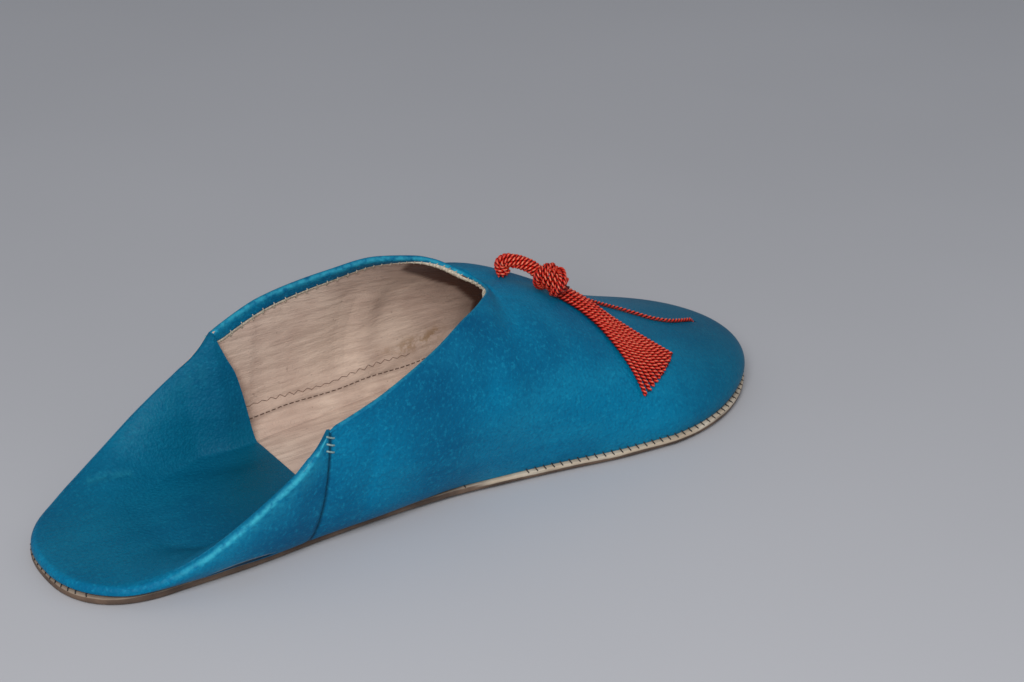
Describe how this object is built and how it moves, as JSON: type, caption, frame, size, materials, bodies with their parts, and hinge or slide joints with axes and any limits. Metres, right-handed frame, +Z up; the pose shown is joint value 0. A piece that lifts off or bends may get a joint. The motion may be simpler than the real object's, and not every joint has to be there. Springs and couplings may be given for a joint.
{
  "type": "babouche slipper",
  "caption": "Flat leather slipper with a trodden heel, an open collar, a rounded toe, a thin sole and a corded tassel on the vamp.",
  "frame": {"origin": "middle of the footprint, on the floor under the sole", "axes": "+X towards the toe, +Y to the side away from the picture's camera, +Z up"},
  "size_m": [0.2562, 0.088, 0.0609],
  "materials": {
    "sole_leather": "natural undyed, smooth edge",
    "lining_leather": "natural undyed, matt",
    "upper_leather": "dyed, fine grain, satin",
    "red_cord": "twisted cord with a slight sheen"
  },
  "bodies": {
    "root": {"outsole": "sole_leather", "insole": "lining_leather", "upper": "upper_leather", "tassel_loop": "red_cord", "tassel_knot": "red_cord", "tassel_fan": "red_cord", "toe_cord": "red_cord"}
  },
  "joints": []
}
